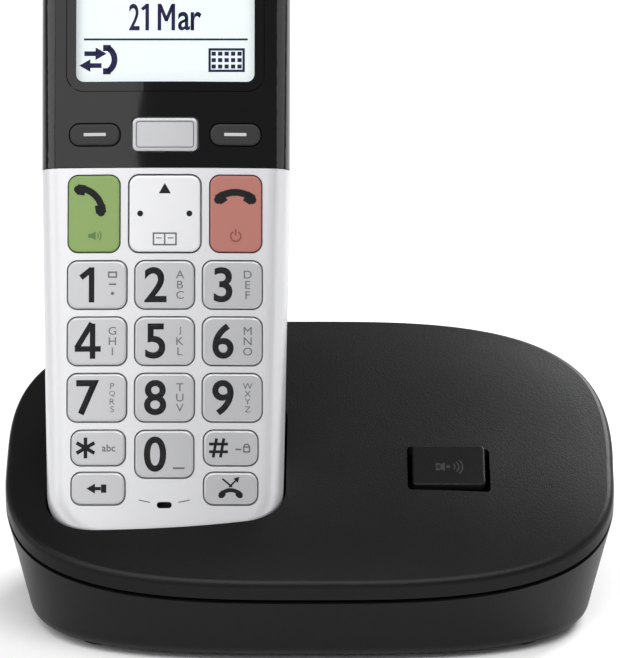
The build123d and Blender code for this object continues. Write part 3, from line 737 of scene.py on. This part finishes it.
# %% Batteries
def turned(bm, centre, profile, steps):
    """Spins a profile about a line along Y through centre. It holds places along and radii, in millimetres."""
    centre = Vector(centre)
    points = [bm.verts.new(centre + Vector((radius, place, 0)) * mm) for place, radius in profile]
    edges = [bm.edges.new(pair) for pair in zip(points, points[1:])]
    bmesh.ops.spin(
        bm, geom=points + edges, cent=centre, axis=(0, 1, 0), angle=math.tau, steps=steps, use_merge=True
    )
    bmesh.ops.remove_doubles(bm, verts=bm.verts, dist=0.01 * mm)
    bmesh.ops.recalc_face_normals(bm, faces=bm.faces)


def place_in_handset(bm, name, material):
    """Stands a bmesh made in the handset's own directions up in the frame."""
    bmesh.ops.transform(bm, matrix=stand, verts=bm.verts)
    return make_piece(bm, name, "handset", material)


cell_low, cell_high = local_box("batteries")
cell_radius = (cell_high.z - cell_low.z) / 2
cell_across = (cell_low.x + cell_radius, cell_high.x - cell_radius)
cell_places = [(x, cell_low.y, (cell_low.z + cell_high.z) / 2) for x in cell_across]
cell_steps = 40
can = [(0, 0), (0, 4.4), (0.3, 4.9), (43.9, 4.9), (44.4, 4.5), (44.4, 2.0), (45.0, 1.9), (45.2, 1.6), (45.2, 0)]
sleeve = [(0.5, 4.8), (0.6, 5.15), (43.6, 5.15), (43.8, 4.6)]
band = [(31.0, 5.1), (31.1, 5.2), (43.5, 5.2), (43.6, 5.1)]
cans, sleeves, bands = bmesh.new(), bmesh.new(), bmesh.new()
for place in cell_places:
    turned(cans, place, can, cell_steps)
    turned(sleeves, place, sleeve, cell_steps)
    turned(bands, place, band, cell_steps)
cell_cans = place_in_handset(cans, "battery_cans", finishes["tin_steel"])
cell_sleeves = place_in_handset(sleeves, "battery_sleeves", finishes["battery_wrap"])
band_blue = grained("battery_band", (0.03, 0.12, 0.22), 0.26, 0.36, 0.1, 1200.0)
place_in_handset(bands, "battery_bands", band_blue)
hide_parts("batteries")
print("two cells of radius", round(cell_radius * 1000, 2), "mm")

# %% [markdown]
# The springs that press the cells are real coils. A small circle is spun about the spring's middle and
# moved on a little with each step.

# %% Battery springs
spring_low, spring_high = local_box("battery_springs")
wire_radius, coil_radius, turns, steps_a_turn, wire_sides = 0.32 * mm, 2.6 * mm, 5, 20, 8
rise = (spring_high.y - spring_low.y - 2 * wire_radius) / (turns * steps_a_turn)
coils = bmesh.new()
for x, _, z in cell_places:
    start = Vector((x + coil_radius, spring_low.y + wire_radius, z))
    stood = Matrix.Translation(start)
    ring = bmesh.ops.create_circle(coils, segments=wire_sides, radius=wire_radius, matrix=stood)
    bmesh.ops.spin(
        coils,
        geom=ring["verts"] + list({edge for vertex in ring["verts"] for edge in vertex.link_edges}),
        cent=(x, start.y, z),
        axis=(0, 1, 0),
        dvec=(0, rise, 0),
        angle=math.tau * turns,
        steps=turns * steps_a_turn,
    )
bmesh.ops.holes_fill(coils, edges=[edge for edge in coils.edges if edge.is_boundary], sides=wire_sides)
bmesh.ops.recalc_face_normals(coils, faces=coils.faces)
springs = place_in_handset(coils, "coil_springs", finishes["contact_metal"])
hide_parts("battery_springs")
print("coil springs of", turns, "turns")

# %% [markdown]
# The battery cover goes in hooks first, and a thumb presses it shut on raised ridges. Each ridge is
# shorter than the one above it, so together they point down the cover.

# %% Grip on the battery cover
def block(bm, centre, size, edge):
    """A box with bevelled edges, in millimetres."""
    made = bmesh.ops.create_cube(bm, size=1.0)
    scale = Matrix.Diagonal((*size, 1.0))
    bmesh.ops.transform(bm, matrix=Matrix.Translation(centre) @ scale, verts=made["verts"])
    edges = list({each for vertex in made["verts"] for each in vertex.link_edges})
    bmesh.ops.bevel(
        bm, geom=edges, offset=edge, offset_type="OFFSET", affect="EDGES", segments=3, profile=0.5, material=-1
    )


def to_metres(bm):
    """Scales a bmesh made in millimetres."""
    bmesh.ops.scale(bm, vec=(mm, mm, mm), verts=bm.verts)


cover_low, cover_high = local_box("battery_cover")
cover_x, cover_back = (cover_low.x + cover_high.x) / 2 / mm, cover_low.z / mm
first_rib, rib_pitch, longest_rib, rib_step = 5.0, 1.6, 9.0, 0.9
rib_width, rib_height, rib_edge = 0.7, 0.6, 0.28
grip = bmesh.new()
for rib in range(6):
    rib_middle = (cover_x, cover_high.y / mm - first_rib - rib * rib_pitch, cover_back)
    block(grip, rib_middle, (longest_rib - rib * rib_step, rib_width, rib_height), rib_edge)
to_metres(grip)
bmesh.ops.transform(grip, matrix=stand, verts=grip.verts)
make_piece(grip, "cover_grip", "battery_cover", finishes["handset_black"])
print("grip ridges on the cover")

# %% [markdown]
# The sockets at the back have metal inside: four sprung wires in the line socket and a pin with a round
# tip in the power socket.

# %% Socket contacts
jack_low, jack_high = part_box("line_jack")
jack_middle = (jack_low + jack_high) / 2
wires = bmesh.new()
wire_count, wire_pitch, wire_gauge = 4, 1.27, 0.23
inner_depth, outer_depth = 8.5, 1.6
inner_drop, outer_rise = 1.2, 3.0
for place in range(wire_count):
    across_mouth = jack_middle.x / mm + (place - (wire_count - 1) / 2) * wire_pitch
    inner = Vector((across_mouth, jack_high.y / mm - inner_depth, jack_middle.z / mm - inner_drop))
    outer = Vector((across_mouth, jack_high.y / mm - outer_depth, jack_middle.z / mm + outer_rise))
    direction = outer - inner
    turn_to = direction.to_track_quat("Z", "Y").to_matrix().to_4x4()
    bmesh.ops.create_cone(
        wires,
        cap_ends=True,
        segments=10,
        radius1=wire_gauge,
        radius2=wire_gauge,
        depth=direction.length,
        matrix=Matrix.Translation((inner + outer) / 2) @ turn_to,
    )
to_metres(wires)
make_piece(wires, "line_contacts", "base", finishes["contact_metal"])
plug_low, plug_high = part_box("power_jack")
plug_middle = (plug_low + plug_high) / 2
bore_depth, pin_length, pin_radius, tip_radius = 9.0, 7.56, 1.04, 0.7
pin = bmesh.new()
pin_profile = [
    (0.02, 0),
    (0.02, pin_radius),
    (pin_length - 0.5, pin_radius),
    (pin_length - 0.1, tip_radius),
    (pin_length, 0),
]
turned(pin, (plug_middle.x, plug_high.y - bore_depth * mm, plug_middle.z), pin_profile, 24)
make_piece(pin, "power_pin", "base", finishes["contact_metal"])
print(wire_count, "wires and a pin")

# %% [markdown]
# Each screw head gets a black cross on the face that looks out of its hole: painted shade where its driver
# recess is.

# %% Painted shade in the screw recesses
cross_lift = 0.035 * mm


def lay_crosses(name, spots, size, height, body, place):
    """Lays a black cross of painted recess shade on each screw head."""
    for count, spot_middle in enumerate(spots):
        art = bmesh.new()
        for turn in (0, 90):
            bar(art, 0, 0, size, size * 0.24, turn)
        lay_print(art, f"{name}_{count}", spot_middle, flat_at(height), body, ink, place)


screw_low, screw_high = local_box("handset_screws")
handset_head, low_screw_side, high_screw_side = 1.9 * mm, 14.5 * mm, 16.5 * mm
screw_spots = []
for side in (-1, 1):
    screw_spots.append((side * low_screw_side, screw_low.y + handset_head))
    screw_spots.append((side * high_screw_side, screw_high.y - handset_head))
lay_crosses("handset_recess_shade", screw_spots, 2.4, screw_low.z - cross_lift, "handset", stand)
foot_screw_low, foot_screw_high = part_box("base_screws")
base_head, front_screw_side, rear_screw_side = 2.6 * mm, 48.0 * mm, 43.0 * mm
base_spots = [(side * front_screw_side, foot_screw_low.y + base_head) for side in (-1, 1)]
base_spots += [(side * rear_screw_side, foot_screw_high.y - base_head) for side in (-1, 1)]
lay_crosses("base_recess_shade", base_spots, 3.4, foot_screw_low.z - cross_lift, "base", Matrix.Identity(4))
print(len(screw_spots) + len(base_spots), "recesses")

# %% [markdown]
# The base's circuit board carries parts of its own: chips with bevelled bodies on solder feet, and round
# capacitors. They show when the housings are taken off.

# %% Parts on the base's board
chip_lift, chip_edge, leg_edge = 0.1, 0.15, 0.06
leg_size, leg_out, leg_rise = (0.9, 0.4, 0.3), 0.3, 0.2


def chip(bm, feet, x, y, z, size, legs):
    """A chip lying on a board, with its legs down both long sides."""
    block(bm, (x, y, z + size[2] / 2 + chip_lift), size, chip_edge)
    for side in (-1, 1):
        for leg in range(legs):
            leg_y = y + (leg - (legs - 1) / 2) * size[1] / legs
            block(feet, (x + side * (size[0] / 2 + leg_out), leg_y, z + leg_rise), leg_size, leg_edge)


board_low, board_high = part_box("base_board")
board_x, board_y = (board_low.x + board_high.x) / 2 / mm, (board_low.y + board_high.y) / 2 / mm
board_z = board_high.z / mm
chips, feet, tins = bmesh.new(), bmesh.new(), bmesh.new()
chip(chips, feet, board_x + 8.0, board_y + 4.0, board_z, (5.0, 8.0, 1.4), 8)
chip(chips, feet, board_x + 14.5, board_y + 3.0, board_z, (3.2, 4.0, 1.2), 4)
to_metres(chips)
to_metres(feet)
capacitor = [(0, 0), (0, 2.9), (0.6, 3.0), (1.0, 2.8), (1.4, 3.0), (7.6, 3.0), (8.0, 2.7), (8.0, 0)]
on_end = Matrix.Rotation(math.pi / 2, 4, "X")
for x, y in ((1.0, 14.0), (15.0, -5.0)):
    turned(tins, (0, 0, 0), capacitor, 28)
    fresh = [vertex for vertex in tins.verts if not vertex.tag]
    upright = Matrix.Translation(((board_x + x) * mm, (board_y + y) * mm, board_z * mm)) @ on_end
    bmesh.ops.transform(tins, matrix=upright, verts=fresh)
    for vertex in fresh:
        vertex.tag = True
make_piece(chips, "base_chips", "base", finishes["jack_plastic"])
make_piece(feet, "base_solder", "base", finishes["tin_steel"])
make_piece(tins, "base_capacitors", "base", finishes["tin_steel"])
print("board parts placed at height", round(board_z, 2))

# %% [markdown]
# The floor is one pale plane.

# %% Floor
floor_half = 6.0
floor_bm = bmesh.new()
bmesh.ops.create_grid(floor_bm, x_segments=1, y_segments=1, size=floor_half)
floor_mesh = bpy.data.meshes.new("floor")
floor_bm.to_mesh(floor_mesh)
floor_bm.free()
floor_mesh.materials.append(finish("pale_floor", (0.90, 0.90, 0.90), 0.9, specular=0.0))
floor = bpy.data.objects.new("floor", floor_mesh)
bpy.context.scene.collection.objects.link(floor)
print("floor laid")

# %% [markdown]
# The studio has five soft boxes in a dim room. The one in front and to the left ends where the curved
# black panel turns away from it, and so draws the panel's bright half, and those at the sides draw its
# bright edges. The one behind and to the right glances off the top of the base.

# %% Studio lights
world = bpy.data.worlds.new("studio")
bpy.context.scene.world = world
world.use_nodes = True
room = world.node_tree.nodes["Background"]
room.inputs["Color"].default_value = (1.0, 1.0, 1.0, 1.0)
room.inputs["Strength"].default_value = 0.2
lit_middle = Vector((0.0, 0.0, 0.08))


def soft_box(name, azimuth, elevation, distance, size, glow):
    """A rectangular light that faces the phone, with its brightness as radiance."""
    light = bpy.data.lights.new(name, "AREA")
    light.shape = "RECTANGLE"
    light.size, light.size_y = size
    light.energy = glow * math.pi * size[0] * size[1]
    a, e = math.radians(azimuth), math.radians(elevation)
    back = Vector((math.sin(a) * math.cos(e), -math.cos(a) * math.cos(e), math.sin(e)))
    lamp = bpy.data.objects.new(name, light)
    lamp.location = lit_middle + back * distance
    lamp.rotation_euler = back.to_track_quat("Z", "Y").to_euler()
    lamp.visible_camera = False
    bpy.context.scene.collection.objects.link(lamp)


soft_box("front_left_box", -33, 28, 1.7, (1.35, 0.9), 1.25)
soft_box("left_box", -86, 20, 1.7, (1.6, 0.9), 1.8)
soft_box("right_box", 86, 14, 1.7, (1.7, 0.7), 1.15)
soft_box("top_box", 0, 60, 1.6, (1.9, 0.9), 5.0)
soft_box("rear_right_box", 143, 34, 1.7, (0.9, 0.8), 13.0)
print("five soft boxes")

# %% [markdown]
# The camera looks down a little from far off through a long lens, so the phone hardly tapers. The top of
# the handset reaches out of the picture.

# %% Camera
target = Vector((0.0, -0.0144, 0.0625))
camera_distance, camera_elevation = 0.864, math.radians(20.3)
lens_length = 227.0
camera_data = bpy.data.cameras.new("camera")
camera_data.lens = lens_length
camera_data.clip_start, camera_data.clip_end = 0.05, 50.0
camera = bpy.data.objects.new("camera", camera_data)
back = Vector((0, -math.cos(camera_elevation), math.sin(camera_elevation)))
camera.location = target + back * camera_distance
camera.rotation_euler = back.to_track_quat("Z", "Y").to_euler()
bpy.context.scene.collection.objects.link(camera)
bpy.context.scene.camera = camera
bpy.context.scene.view_settings.view_transform = "Standard"
print("camera at", [round(v, 4) for v in camera.location])
